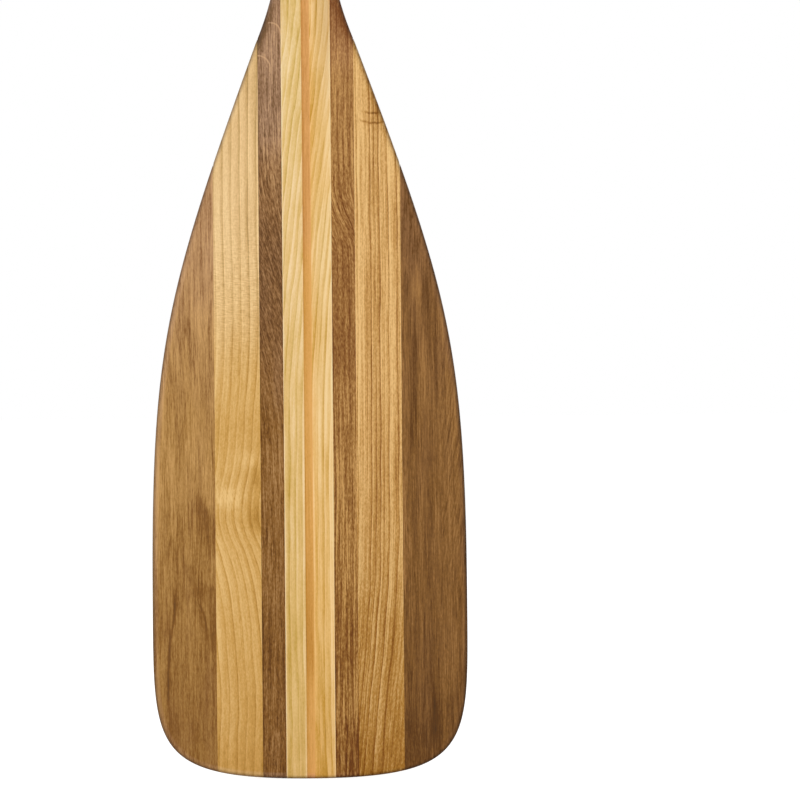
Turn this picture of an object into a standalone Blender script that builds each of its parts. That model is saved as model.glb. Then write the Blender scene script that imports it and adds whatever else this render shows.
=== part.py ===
"""Laminated wooden canoe paddle with a straight shaft and a carved palm grip.

The paddle is built in the order in which the real one is made. Straight boards are laid side
by side as square blanks, and one carved form is then cut through all of them, so that every
glue line runs straight through the blade, the shaft and the grip.

Frame: metres, +Z from the blade tip up to the grip, +X across the blade, front face towards -Y.
The origin is the middle of the blade tip.
"""

import math

import bmesh
import bpy
import numpy as np

# Lengths along the paddle
OVERALL_LENGTH = 1.372
THROAT_HEIGHT = 0.560
CORE_JOINT_FROM_END = 0.350

# Boards, measured across the paddle from its centre line outwards
CORE_WIDTH = 0.0053
PLY_WIDTH = 0.0132
INNER_BOARD_WIDTH = 0.0151
MID_BOARD_WIDTH = 0.0294
GLUE_LINE = 0.0003

# Blade outline
BLADE_WIDTH = 0.2032
WIDEST_HEIGHT = 0.105
TIP_CROWN_REACH = 0.102
CORNER_REACH = 0.085
SIDE_REACH = 0.171
FLANK_HEIGHT = 0.473
FLANK_WIDTH = 0.0654
FLANK_SLOPE = 0.37
FLANK_REACH_DOWN = 0.176
FLANK_REACH_UP = 0.010
THROAT_REACH = 0.048

# Blade section
BLADE_THICKNESS = 0.0092
BLADE_EDGE_THICKNESS = 0.0046
FEATHER_WIDTH = 0.045
SPINE_END_HEIGHT = 0.330
SPINE_START_HEIGHT = 0.600
SPINE_FILLET = 0.004

# Shaft
SHAFT_WIDTH = 0.0302
SHAFT_DEPTH = 0.0310
SHAFT_TAPER_FROM_END = 0.460
NECK_WIDTH = 0.0278
NECK_DEPTH = 0.0285
NECK_FROM_END = 0.192
TAPER_REACH = 0.063

# Palm grip
GRIP_WIDTH = 0.1075
GRIP_WIDEST_FROM_END = 0.0240
GRIP_END_REACH = 0.0254
GRIP_SIDE_REACH_UP = 0.0217
GRIP_SIDE_REACH_DOWN = 0.0175
SHOULDER_FROM_END = 0.0556
SHOULDER_WIDTH = 0.0600
SHOULDER_SLOPE = 1.10
SHOULDER_REACH_UP = 0.0178
SHOULDER_REACH_DOWN = 0.0238
NECK_REACH = 0.0937
GRIP_DEPTH = 0.0290
GRIP_WING_DEPTH = 0.0200
GRIP_ROLL = 0.0100
DISH_DEPTH = 0.0015
DISH_OFFSET = 0.0300
DISH_FROM_END = 0.0300
DISH_RADIUS = 0.0150
FLARE_FROM_END = 0.0980

# Square stock left around the carved form before it is cut
STOCK_ALLOWANCE = 0.006

# Fineness of the carved form
CURVE_STEPS = 120
CENTRE_COLUMNS = 4
FACE_COLUMNS = 8
ROLL_COLUMNS = 4
ROLL_ROWS = 4
TIP_ROWS = 10
BLADE_ROWS = 18
THROAT_ROWS = 14
SHAFT_ROWS = 9
NECK_ROWS = 5
FLARE_ROWS = 10
PALM_ROWS = 8
TIP_CROWDING = 1.7
SHARP_EDGE_DEGREES = 32

# Finished wood: base colour of each board as display RGB, and the varnish over all of them
WOODS = {
    "shaft_core_lower": (212, 153, 84),
    "shaft_core_upper": (190, 138, 68),
    "shaft_ply_left": (227, 189, 123),
    "shaft_ply_right": (228, 188, 121),
    "blade_inner_left": (136, 95, 54),
    "blade_inner_right": (152, 107, 56),
    "blade_mid_left": (212, 165, 96),
    "blade_mid_right": (200, 152, 86),
    "blade_outer_left": (165, 122, 68),
    "blade_outer_right": (131, 90, 48),
    "grip_wing_left": (128, 96, 53),
    "grip_wing_right": (110, 77, 38),
}
VARNISH_ROUGHNESS = 0.32


def bezier(start, start_handle, end_handle, end):
    """Points of one cubic curve, as rows of (half width, height)."""
    t = np.linspace(0.0, 1.0, CURVE_STEPS)[:, None]
    corners = [np.array(point, float) for point in (start, start_handle, end_handle, end)]
    weights = [(1 - t) ** 3, 3 * t * (1 - t) ** 2, 3 * t**2 * (1 - t), t**3]
    return sum(weight * corner for weight, corner in zip(weights, corners))


def along(point, slope, reach):
    """A handle that leaves a point towards +Z on a line which closes in by slope per unit of height."""
    length = math.hypot(slope, 1.0)
    return point[0] - slope * reach / length, point[1] + reach / length


def half_outline():
    """The outline seen from the front: (half width, height) from the tip round to the grip end."""
    tip = (0.0, 0.0)
    widest = (BLADE_WIDTH / 2, WIDEST_HEIGHT)
    flank = (FLANK_WIDTH / 2, FLANK_HEIGHT)
    throat = (SHAFT_WIDTH / 2, THROAT_HEIGHT)
    taper = (SHAFT_WIDTH / 2, OVERALL_LENGTH - SHAFT_TAPER_FROM_END)
    neck = (NECK_WIDTH / 2, OVERALL_LENGTH - NECK_FROM_END)
    shoulder = (SHOULDER_WIDTH / 2, OVERALL_LENGTH - SHOULDER_FROM_END)
    palm = (GRIP_WIDTH / 2, OVERALL_LENGTH - GRIP_WIDEST_FROM_END)
    end = (0.0, OVERALL_LENGTH)

    def raised(point, reach):
        return point[0], point[1] + reach

    curves = [
        bezier(tip, (TIP_CROWN_REACH, 0.0), raised(widest, -CORNER_REACH), widest),
        bezier(
            widest,
            raised(widest, SIDE_REACH),
            along(flank, FLANK_SLOPE, -FLANK_REACH_DOWN),
            flank,
        ),
        bezier(
            flank,
            along(flank, FLANK_SLOPE, FLANK_REACH_UP),
            raised(throat, -THROAT_REACH),
            throat,
        ),
        bezier(throat, raised(throat, TAPER_REACH), raised(taper, -TAPER_REACH), taper),
        bezier(taper, raised(taper, TAPER_REACH), raised(neck, -TAPER_REACH), neck),
        bezier(
            neck,
            raised(neck, NECK_REACH),
            along(shoulder, -SHOULDER_SLOPE, -SHOULDER_REACH_DOWN),
            shoulder,
        ),
        bezier(
            shoulder,
            along(shoulder, -SHOULDER_SLOPE, SHOULDER_REACH_UP),
            raised(palm, -GRIP_SIDE_REACH_DOWN),
            palm,
        ),
        bezier(palm, raised(palm, GRIP_SIDE_REACH_UP), (GRIP_END_REACH, end[1]), end),
    ]
    return np.vstack([curves[0]] + [curve[1:] for curve in curves[1:]])


def ease(value, start, stop):
    """A smooth step from 0 at start to 1 at stop."""
    t = np.clip((value - start) / (stop - start), 0.0, 1.0)
    return t * t * (3 - 2 * t)


def rolled(distance, reach):
    """A quarter round: 0 at the outline, 1 from reach inwards."""
    q = np.clip(distance / reach, 0.0, 1.0)
    return np.sqrt(1 - (1 - q) ** 2)


def soft_union(first, second, fillet):
    """The larger of two heights, with the inside corner between them filled in."""
    overlap = np.clip(1 - np.abs(first - second) / fillet, 0.0, None)
    return np.maximum(first, second) + fillet * overlap**2 / 4


def half_depth(x, z, width, distance):
    """Height of the carved face over the centre plane.

    x and z place the point, width is the outline's half width at that height, and distance
    is how far the point lies inside the outline.
    """
    from_end = OVERALL_LENGTH - z

    # Flat blade that feathers towards its rounded edge
    feather = BLADE_EDGE_THICKNESS + (BLADE_THICKNESS - BLADE_EDGE_THICKNESS) * ease(
        distance, 0.0, FEATHER_WIDTH
    )
    blade = feather / 2 * rolled(distance, BLADE_EDGE_THICKNESS / 2)

    # Oval shaft that sinks into the blade as a spine
    sunk = BLADE_THICKNESS / 2 - SPINE_FILLET
    shaft = sunk + (SHAFT_DEPTH / 2 - sunk) * ease(z, SPINE_END_HEIGHT, SPINE_START_HEIGHT)
    shaft = shaft - (SHAFT_DEPTH - NECK_DEPTH) / 2 * ease(
        -from_end, -SHAFT_TAPER_FROM_END, -NECK_FROM_END
    )
    spine_width = np.minimum(width, SHAFT_WIDTH / 2)
    oval = np.sqrt(np.clip(1 - (x / np.maximum(spine_width, 1e-6)) ** 2, 0.0, None))
    fillet = np.minimum(SPINE_FILLET, np.maximum(distance, 1e-6))
    lower = soft_union(shaft * oval, blade, fillet)

    # Palm grip: the oval spreads into two wings with a rolled rim and a shallow dish each
    spread = ease(-from_end, -NECK_FROM_END, -SHOULDER_FROM_END)
    across = np.clip(np.abs(x) / (GRIP_WIDTH / 2), 0.0, 1.0)
    wing_fall = (GRIP_DEPTH - GRIP_WING_DEPTH) / 2 * ease(across, 0.0, 1.0)
    centre = NECK_DEPTH / 2 + (GRIP_DEPTH - NECK_DEPTH) / 2 * spread
    dish_distance = np.hypot(np.abs(x) - DISH_OFFSET, from_end - DISH_FROM_END)
    dish = DISH_DEPTH * (1 - ease(dish_distance, 0.0, DISH_RADIUS))
    roll_reach = width + (GRIP_ROLL - width) * spread
    upper = (centre - wing_fall - dish) * rolled(distance, roll_reach)

    is_grip = from_end < NECK_FROM_END
    return np.where(is_grip, upper, lower)


def distance_inside(x, z, outline):
    """How far each point lies inside the outline, measured square to it."""
    start, stop = outline[:-1], outline[1:]
    edge = stop - start
    offset_x = np.abs(x)[..., None] - start[:, 0]
    offset_z = z[..., None] - start[:, 1]
    length = np.maximum((edge**2).sum(1), 1e-18)
    t = np.clip((offset_x * edge[:, 0] + offset_z * edge[:, 1]) / length, 0.0, 1.0)
    gap = np.hypot(offset_x - t * edge[:, 0], offset_z - t * edge[:, 1])
    return gap.min(-1)


def row_heights(low, high):
    """Heights of the grid rows where they meet the outline's side, closer where it bends."""
    turn = np.linspace(0.0, math.pi / 2, ROLL_ROWS)
    tip_roll = BLADE_EDGE_THICKNESS / 2 * (1 - np.cos(turn))
    end_turn = np.linspace(0.0, math.pi / 2, ROLL_ROWS + 2)
    end_roll = GRIP_ROLL * (1 - np.cos(end_turn))
    neck = OVERALL_LENGTH - NECK_FROM_END
    flare = OVERALL_LENGTH - FLARE_FROM_END
    shoulder = OVERALL_LENGTH - SHOULDER_FROM_END
    stretches = [
        (low + tip_roll[-1], WIDEST_HEIGHT, TIP_ROWS, TIP_CROWDING),
        (WIDEST_HEIGHT, FLANK_HEIGHT, BLADE_ROWS, 1.0),
        (FLANK_HEIGHT, THROAT_HEIGHT, THROAT_ROWS, 1.0),
        (THROAT_HEIGHT, neck, SHAFT_ROWS, 1.0),
        (neck, flare, NECK_ROWS, 1.0),
        (flare, shoulder, FLARE_ROWS, 1.0),
        (shoulder, high - end_roll[-1], PALM_ROWS, 1.0),
    ]
    rows = [low + tip_roll[:-1]]
    for start, stop, count, crowding in stretches:
        share = np.linspace(0.0, 1.0, count, endpoint=False) ** crowding
        rows.append(start + (stop - start) * share)
    rows.append(high - end_roll[::-1])
    return np.concatenate(rows)


def column_places(widths, heights, bend):
    """Distance of each grid column from the centre line, one row of them for each height.

    On the blade and the grip the columns fall in three stretches: the centre stack, the face
    and the rolled edge. On the oval shaft they are spread evenly round the section instead.
    bend crowds the face's columns towards the corners of both ends.
    """
    stack = CORE_WIDTH / 2 + PLY_WIDTH
    is_grip = ease(heights, THROAT_HEIGHT, OVERALL_LENGTH - NECK_FROM_END)
    rim = BLADE_EDGE_THICKNESS / 2 + (GRIP_ROLL - BLADE_EDGE_THICKNESS / 2) * is_grip
    rim = np.minimum(rim, widths / 2)[:, None]
    width = widths[:, None]
    centre_edge = np.minimum(stack, width * 0.45)
    face_share = np.linspace(0.0, 1.0, FACE_COLUMNS, endpoint=False)
    face_share = face_share + bend * (np.sin(face_share * math.pi / 2) - face_share)
    roll_turn = np.linspace(0.0, math.pi / 2, ROLL_COLUMNS + 1)
    flat = np.hstack([
        centre_edge * np.linspace(0.0, 1.0, CENTRE_COLUMNS, endpoint=False),
        centre_edge + (width - rim - centre_edge) * face_share,
        width - rim * (1 - np.sin(roll_turn)),
    ])
    round_turn = np.linspace(0.0, math.pi / 2, flat.shape[1])
    is_round = ease(heights, FLANK_HEIGHT, THROAT_HEIGHT) * (
        1 - ease(heights, OVERALL_LENGTH - FLARE_FROM_END, OVERALL_LENGTH - SHOULDER_FROM_END)
    )
    return flat + is_round[:, None] * (width * np.sin(round_turn) - flat)


def carved_form(name):
    """The whole carved surface as one closed guide: a shaped grid, mirrored to the back.

    Rows follow the crowned tip and the crowned grip end and straighten in between, and columns
    follow the sides, so both ends keep even cells right up to the outline.
    """
    outline = half_outline()

    # The rows' ends: where the crowned tip and grip end turn steeper than 45 degrees
    slope = np.gradient(outline[:, 1]) - np.abs(np.gradient(outline[:, 0]))
    blade_part = outline[:, 1] < WIDEST_HEIGHT
    low = outline[blade_part & (slope > 0)][0]
    grip_part = outline[:, 1] > OVERALL_LENGTH - GRIP_WIDEST_FROM_END
    high = outline[grip_part & (slope > 0)][-1]
    side = outline[(outline[:, 1] >= low[1]) & (outline[:, 1] <= high[1])]
    tip = outline[(outline[:, 1] <= low[1])]
    end = outline[(outline[:, 1] >= high[1])][::-1]

    heights = row_heights(low[1], high[1])
    widths = np.interp(heights, side[:, 1], side[:, 0])
    from_end = OVERALL_LENGTH - heights
    keeps_tip = 1 - ease(heights, low[1], WIDEST_HEIGHT)[:, None]
    keeps_end = 1 - ease(from_end, OVERALL_LENGTH - high[1], SHOULDER_FROM_END)[:, None]
    half = column_places(widths, heights, keeps_tip + keeps_end)
    x = np.hstack([-half[:, :0:-1], half])

    share = np.abs(x) / widths[:, None]
    tip_bow = low[1] - np.interp(share * low[0], tip[:, 0], tip[:, 1])
    end_bow = np.interp(share * high[0], end[:, 0], end[:, 1]) - high[1]
    z = heights[:, None] - keeps_tip * tip_bow + keeps_end * end_bow

    local_width = np.interp(z, side[:, 1], side[:, 0])
    distance = distance_inside(x, z, outline)
    depth = half_depth(x, z, local_width, distance)
    depth[:, [0, -1]] = 0.0
    depth[[0, -1], :] = 0.0

    rows, columns = x.shape
    mesh = bpy.data.meshes.new(name)
    shaped = bmesh.new()
    bmesh.ops.create_grid(shaped, x_segments=columns - 1, y_segments=rows - 1, size=0.5)
    for vert in shaped.verts:
        column = round((vert.co.x + 0.5) * (columns - 1))
        row = round((vert.co.y + 0.5) * (rows - 1))
        vert.co = (x[row, column], -depth[row, column], z[row, column])
    bmesh.ops.recalc_face_normals(shaped, faces=shaped.faces)
    shaped.to_mesh(mesh)
    shaped.free()
    mesh.shade_smooth()

    form = bpy.data.objects.new(name, mesh)
    bpy.context.collection.objects.link(form)
    mirror = form.modifiers.new("back face", "MIRROR")
    mirror.use_axis = (False, True, False)
    mirror.merge_threshold = 1e-6
    form.display_type = "WIRE"
    form.hide_render = True
    return form


def finished_wood(name):
    """Varnished wood in one board's colour."""
    linear = [((value / 255 + 0.055) / 1.055) ** 2.4 for value in WOODS[name]]
    material = bpy.data.materials.new(name)
    material.use_nodes = True
    shader = material.node_tree.nodes["Principled BSDF"]
    shader.inputs["Base Color"].default_value = (*linear, 1.0)
    shader.inputs["Roughness"].default_value = VARNISH_ROUGHNESS
    shader.inputs["Metallic"].default_value = 0.0
    material.diffuse_color = (*linear, 1.0)
    return material


def board(name, form, paddle, across, along_z):
    """One square blank from across[0] to across[1] and along_z[0] to along_z[1], cut to the form."""
    stock_depth = max(SHAFT_DEPTH, GRIP_DEPTH) + 2 * STOCK_ALLOWANCE
    size = (across[1] - across[0], stock_depth, along_z[1] - along_z[0])
    stock = bpy.data.meshes.new("stock")
    blank = bmesh.new()
    bmesh.ops.create_cube(blank, size=1.0)
    bmesh.ops.scale(blank, vec=size, verts=blank.verts)
    blank.to_mesh(stock)
    blank.free()

    piece = bpy.data.objects.new(name, stock)
    bpy.context.collection.objects.link(piece)
    piece.parent = paddle
    piece.location = (sum(across) / 2, 0.0, sum(along_z) / 2)
    carve = piece.modifiers.new("carve", "BOOLEAN")
    carve.operation = "INTERSECT"
    carve.solver = "EXACT"
    carve.object = form

    # Keep the carved mesh, smooth on its face and crisp along its glue lines
    depsgraph = bpy.context.evaluated_depsgraph_get()
    carved = bpy.data.meshes.new_from_object(piece.evaluated_get(depsgraph))
    piece.modifiers.remove(carve)
    piece.data = carved
    bpy.data.meshes.remove(stock)
    carved.name = name
    carved.shade_smooth()
    carved.set_sharp_from_angle(angle=math.radians(SHARP_EDGE_DEGREES))
    carved.materials.clear()
    carved.materials.append(finished_wood(name))
    return piece


def mirrored_pair(name, form, paddle, inner, outer, along_z):
    """A left and a right board between two distances from the centre line."""
    board(f"{name}_left", form, paddle, (-outer, -inner), along_z)
    board(f"{name}_right", form, paddle, (inner, outer), along_z)


def build_paddle():
    """Lay up the boards from the centre line outwards and carve them."""
    form = carved_form("carved_form")
    paddle = bpy.data.objects.new("paddle", None)
    bpy.context.collection.objects.link(paddle)

    gap = GLUE_LINE / 2
    bottom, top = -STOCK_ALLOWANCE, OVERALL_LENGTH + STOCK_ALLOWANCE
    core_joint = OVERALL_LENGTH - CORE_JOINT_FROM_END
    core_edge = CORE_WIDTH / 2
    stack_edge = core_edge + PLY_WIDTH
    inner_edge = stack_edge + INNER_BOARD_WIDTH
    mid_edge = inner_edge + MID_BOARD_WIDTH
    blade_edge = BLADE_WIDTH / 2 + STOCK_ALLOWANCE
    grip_edge = GRIP_WIDTH / 2 + STOCK_ALLOWANCE
    core = (-core_edge + gap, core_edge - gap)
    blade = (bottom, THROAT_HEIGHT)
    grip = (OVERALL_LENGTH - NECK_FROM_END, top)

    board("shaft_core_lower", form, paddle, core, (bottom, core_joint - gap))
    board("shaft_core_upper", form, paddle, core, (core_joint + gap, top))
    mirrored_pair("shaft_ply", form, paddle, core_edge + gap, stack_edge - gap, (bottom, top))
    mirrored_pair("blade_inner", form, paddle, stack_edge + gap, inner_edge - gap, blade)
    mirrored_pair("blade_mid", form, paddle, inner_edge + gap, mid_edge - gap, blade)
    mirrored_pair("blade_outer", form, paddle, mid_edge + gap, blade_edge, blade)
    mirrored_pair("grip_wing", form, paddle, stack_edge + gap, grip_edge, grip)


def main():
    for old in list(bpy.data.objects):
        bpy.data.objects.remove(old, do_unlink=True)
    build_paddle()


main()
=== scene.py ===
"""Laminated canoe paddle: carved boards with their own grain, varnish and a plain studio.

Every board is a surface worked out from two parameters, one across the board and one along
it. All boards follow the same carved form, so their faces run on from one to the next.
"""

import math

import bmesh
import bpy
import numpy as np
from bpy.props import CollectionProperty, FloatProperty, FloatVectorProperty, PointerProperty
from mathutils import Matrix, Vector


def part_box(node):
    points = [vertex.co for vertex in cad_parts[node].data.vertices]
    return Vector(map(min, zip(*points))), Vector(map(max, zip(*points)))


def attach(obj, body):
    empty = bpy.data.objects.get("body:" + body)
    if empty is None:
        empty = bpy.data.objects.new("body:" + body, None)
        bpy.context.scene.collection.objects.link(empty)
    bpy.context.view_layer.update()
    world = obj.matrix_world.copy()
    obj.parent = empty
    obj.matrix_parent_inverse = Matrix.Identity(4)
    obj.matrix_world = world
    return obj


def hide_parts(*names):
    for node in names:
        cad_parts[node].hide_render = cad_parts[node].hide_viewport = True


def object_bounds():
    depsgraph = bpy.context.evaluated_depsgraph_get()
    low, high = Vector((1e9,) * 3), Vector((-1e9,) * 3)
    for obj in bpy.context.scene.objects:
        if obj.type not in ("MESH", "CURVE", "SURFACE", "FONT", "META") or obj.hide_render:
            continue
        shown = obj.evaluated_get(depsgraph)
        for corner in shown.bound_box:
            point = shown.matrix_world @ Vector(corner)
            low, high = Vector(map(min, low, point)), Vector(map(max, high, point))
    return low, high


bl_info = {
    "name": "Laminated Paddle",
    "version": (1, 0, 0),
    "blender": (4, 5, 0),
    "location": "View3D > Sidebar > Paddle",
    "description": "Carved boards, wood finishes and a plain studio for a canoe paddle",
    "category": "Add Mesh",
}

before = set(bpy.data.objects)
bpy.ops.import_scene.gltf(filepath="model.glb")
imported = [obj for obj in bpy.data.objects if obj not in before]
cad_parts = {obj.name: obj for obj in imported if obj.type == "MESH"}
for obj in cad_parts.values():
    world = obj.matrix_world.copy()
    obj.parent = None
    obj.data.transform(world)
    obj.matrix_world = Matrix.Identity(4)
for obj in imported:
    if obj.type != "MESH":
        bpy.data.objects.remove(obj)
CAD_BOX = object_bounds()
BLADE_BOX = [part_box("blade_outer_left")[0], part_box("blade_outer_right")[1]]
GRIP_BOX = [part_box("grip_wing_left")[0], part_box("grip_wing_right")[1]]

# Outline of the blade, in metres from the tip
WIDEST_HEIGHT = 0.105
TIP_CROWN_REACH = 0.102
CORNER_REACH = 0.085
SIDE_REACH = 0.171
FLANK_HEIGHT = 0.473
FLANK_WIDTH = 0.0654
FLANK_SLOPE = 0.37
FLANK_REACH_DOWN = 0.176
FLANK_REACH_UP = 0.010
THROAT_REACH = 0.048

# Outline of the shaft and the grip, in metres from the grip end
SHAFT_TAPER_FROM_END = 0.460
NECK_WIDTH = 0.0278
NECK_DEPTH = 0.0285
NECK_FROM_END = 0.192
TAPER_REACH = 0.063
GRIP_WIDEST_FROM_END = 0.0240
GRIP_END_REACH = 0.0254
GRIP_SIDE_REACH_UP = 0.0217
GRIP_SIDE_REACH_DOWN = 0.0175
SHOULDER_FROM_END = 0.0556
SHOULDER_WIDTH = 0.0600
SHOULDER_SLOPE = 1.10
SHOULDER_REACH_UP = 0.0178
SHOULDER_REACH_DOWN = 0.0238
NECK_REACH = 0.0937
FLARE_FROM_END = 0.0980

# Section of the blade and the grip
FEATHER_WIDTH = 0.045
SPINE_END_HEIGHT = 0.330
SPINE_START_HEIGHT = 0.600
SPINE_FILLET = 0.004
GRIP_WING_DEPTH = 0.0200
GRIP_ROLL = 0.0100
DISH_DEPTH = 0.0015
DISH_OFFSET = 0.0300
DISH_FROM_END = 0.0300
DISH_RADIUS = 0.0150

# Rows of points on a board: how many round each end, and the steps between them in metres
TIP_ROWS = 8
END_ROWS = 14
CORNER_STEP = 0.0016
SIDE_STEP = 0.0035
THROAT_STEP = 0.0022
SHAFT_STEP = 0.0055
NECK_STEP = 0.0025
GRIP_STEP = 0.0011
THROAT_ROWS_DOWN = 0.03
THROAT_ROWS_UP = 0.05
ROW_MARGIN = 2e-4

# Columns of each kind of board. One in RIM_SHARE of them lies in the rolled edge.
COLUMNS = {"core": 9, "ply": 18, "inner": 18, "mid": 21, "outer": 27, "wing": 30}
RIM_SHARE = 3
PAST_OUTLINE = 0.001

# Exactness of curves and meshes
CURVE_POINTS = 120
POINTS_AT_ONCE = 4000
TINY = 1e-6
WELD_DISTANCE = 2e-6
SHARP_ANGLE = math.radians(50)
MILLIMETRES = 1000.0

# The photograph's frame: metres across the picture at the blade, and what its middle looks at
FRAME_WIDTH = 0.5164
LENS = 200.0
SENSOR = 36.0
LOOK_AT = (0.0592, 0.0, 0.2438)
ROLL = math.radians(0.48)
VIEW_RANGE = (0.05, 200.0)


def measure(name, description, default):
    return FloatProperty(name=name, description=description, default=default, unit="LENGTH")


def tone(name, description, default):
    return FloatVectorProperty(
        name=name, description=description, default=default, subtype="COLOR", min=0.0, max=1.0
    )


class PaddleSizes(bpy.types.PropertyGroup):
    """Sizes that the carved boards share."""

    overall_length: measure(
        "Length", "From the blade tip to the grip end", CAD_BOX[1].z - CAD_BOX[0].z
    )
    blade_width: measure(
        "Blade width", "Across the blade at its widest", BLADE_BOX[1].x - BLADE_BOX[0].x
    )
    blade_thickness: measure("Blade thickness", "At the flat middle of the blade", 0.0092)
    blade_edge: measure(
        "Blade edge", "Thickness of the blade where its edge is rounded over", 0.0046
    )
    throat_height: measure(
        "Throat height", "From the tip to where the blade's sides meet the shaft", 0.560
    )
    shaft_width: measure("Shaft width", "Across the oval shaft, seen from the front", 0.0302)
    shaft_depth: measure(
        "Shaft depth", "Through the oval shaft, from front to back", CAD_BOX[1].y - CAD_BOX[0].y
    )
    grip_width: measure(
        "Grip width", "Across the palm grip at its widest", GRIP_BOX[1].x - GRIP_BOX[0].x
    )
    grip_depth: measure("Grip depth", "Through the palm grip on the centre line", 0.0290)
    core_width: measure("Core width", "Across the thin strip on the centre line", 0.0053)
    ply_width: measure("Ply width", "Across each pale strip beside the core", 0.0132)
    inner_width: measure(
        "Inner board width", "Across each narrow dark board of the blade", 0.0151
    )
    mid_width: measure("Middle board width", "Across each wide pale board of the blade", 0.0294)
    core_joint: measure("Core joint", "From the grip end to the end joint in the core", 0.350)


class BoardTones(bpy.types.PropertyGroup):
    """Four tones of one board's wood."""

    deep: tone("Deep", "Darkest growth lines and pores", (0.12, 0.05, 0.01))
    body: tone("Body", "Most of the board's face", (0.38, 0.20, 0.07))
    pale: tone("Pale", "Lightest streaks", (0.68, 0.46, 0.21))
    tint: tone("Tint", "Where the wood's hue turns", (0.45, 0.20, 0.06))


# Carved form


def bezier(start, start_handle, end_handle, end):
    """Points of one cubic curve, as rows of (half width, height)."""
    t = np.linspace(0.0, 1.0, CURVE_POINTS)[:, None]
    corners = [np.array(point, float) for point in (start, start_handle, end_handle, end)]
    weights = [(1 - t) ** 3, 3 * t * (1 - t) ** 2, 3 * t**2 * (1 - t), t**3]
    return sum(weight * corner for weight, corner in zip(weights, corners))


def along(point, slope, reach):
    """A handle on a line that closes in by slope per unit of height."""
    length = math.hypot(slope, 1.0)
    return point[0] - slope * reach / length, point[1] + reach / length


def raised(point, reach):
    """A handle straight above a point, or below it for a negative reach."""
    return point[0], point[1] + reach


def half_outline(sizes):
    """The outline from the tip to the grip end: eight cubic curves, as (half width, height)."""
    top = sizes.overall_length
    tip = (0.0, 0.0)
    widest = (sizes.blade_width / 2, WIDEST_HEIGHT)
    flank = (FLANK_WIDTH / 2, FLANK_HEIGHT)
    throat = (sizes.shaft_width / 2, sizes.throat_height)
    taper = (sizes.shaft_width / 2, top - SHAFT_TAPER_FROM_END)
    neck = (NECK_WIDTH / 2, top - NECK_FROM_END)
    shoulder = (SHOULDER_WIDTH / 2, top - SHOULDER_FROM_END)
    palm = (sizes.grip_width / 2, top - GRIP_WIDEST_FROM_END)
    curves = [
        bezier(tip, (TIP_CROWN_REACH, 0.0), raised(widest, -CORNER_REACH), widest),
        bezier(
            widest,
            raised(widest, SIDE_REACH),
            along(flank, FLANK_SLOPE, -FLANK_REACH_DOWN),
            flank,
        ),
        bezier(
            flank,
            along(flank, FLANK_SLOPE, FLANK_REACH_UP),
            raised(throat, -THROAT_REACH),
            throat,
        ),
        bezier(throat, raised(throat, TAPER_REACH), raised(taper, -TAPER_REACH), taper),
        bezier(taper, raised(taper, TAPER_REACH), raised(neck, -TAPER_REACH), neck),
        bezier(
            neck,
            raised(neck, NECK_REACH),
            along(shoulder, -SHOULDER_SLOPE, -SHOULDER_REACH_DOWN),
            shoulder,
        ),
        bezier(
            shoulder,
            along(shoulder, -SHOULDER_SLOPE, SHOULDER_REACH_UP),
            raised(palm, -GRIP_SIDE_REACH_DOWN),
            palm,
        ),
        bezier(palm, raised(palm, GRIP_SIDE_REACH_UP), (GRIP_END_REACH, top), (0.0, top)),
    ]
    return np.vstack([curves[0]] + [curve[1:] for curve in curves[1:]])


def ease(value, start, stop):
    """A smooth step from 0 at start to 1 at stop: 3 t squared less 2 t cubed."""
    t = np.clip((value - start) / (stop - start), 0.0, 1.0)
    return t * t * (3 - 2 * t)


def rolled(distance, reach):
    """A quarter round: the height of a circle's arc, 0 at the outline and 1 from reach on."""
    q = np.clip(distance / reach, 0.0, 1.0)
    return np.sqrt(1 - (1 - q) ** 2)


def soft_union(first, second, fillet):
    """The larger of two heights, with a parabola filling the inside corner between them."""
    overlap = np.clip(1 - np.abs(first - second) / fillet, 0.0, None)
    return np.maximum(first, second) + fillet * overlap**2 / 4


def half_depth(sizes, x, z, width, distance):
    """Height of the face over the centre plane at (x, z).

    On the blade it is the larger of a plate that feathers to a rounded edge and an oval spine
    that sinks into it. On the grip it is the oval spread out, less the fall of the wings and
    the dishes, times a rolled rim. distance is how far a point lies inside the outline.
    """
    from_end = sizes.overall_length - z
    edge, thickness = sizes.blade_edge, sizes.blade_thickness
    feather = edge + (thickness - edge) * ease(distance, 0.0, FEATHER_WIDTH)
    blade = feather / 2 * rolled(distance, edge / 2)

    sunk = thickness / 2 - SPINE_FILLET
    rise = ease(z, SPINE_END_HEIGHT, SPINE_START_HEIGHT)
    shaft = sunk + (sizes.shaft_depth / 2 - sunk) * rise
    thinned = ease(-from_end, -SHAFT_TAPER_FROM_END, -NECK_FROM_END)
    shaft = shaft - (sizes.shaft_depth - NECK_DEPTH) / 2 * thinned
    spine = np.minimum(width, sizes.shaft_width / 2)
    oval = np.sqrt(np.clip(1 - (x / np.maximum(spine, TINY)) ** 2, 0.0, None))
    fillet = np.minimum(SPINE_FILLET, np.maximum(distance, TINY))
    lower = soft_union(shaft * oval, blade, fillet)

    spread = ease(-from_end, -NECK_FROM_END, -SHOULDER_FROM_END)
    across = np.clip(np.abs(x) / (sizes.grip_width / 2), 0.0, 1.0)
    wing_fall = (sizes.grip_depth - GRIP_WING_DEPTH) / 2 * ease(across, 0.0, 1.0)
    centre = NECK_DEPTH / 2 + (sizes.grip_depth - NECK_DEPTH) / 2 * spread
    dish_distance = np.hypot(np.abs(x) - DISH_OFFSET, from_end - DISH_FROM_END)
    dish = DISH_DEPTH * (1 - ease(dish_distance, 0.0, DISH_RADIUS))
    roll_reach = width + (GRIP_ROLL - width) * spread
    upper = (centre - wing_fall - dish) * rolled(distance, roll_reach)
    return np.where(from_end < NECK_FROM_END, upper, lower)


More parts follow.
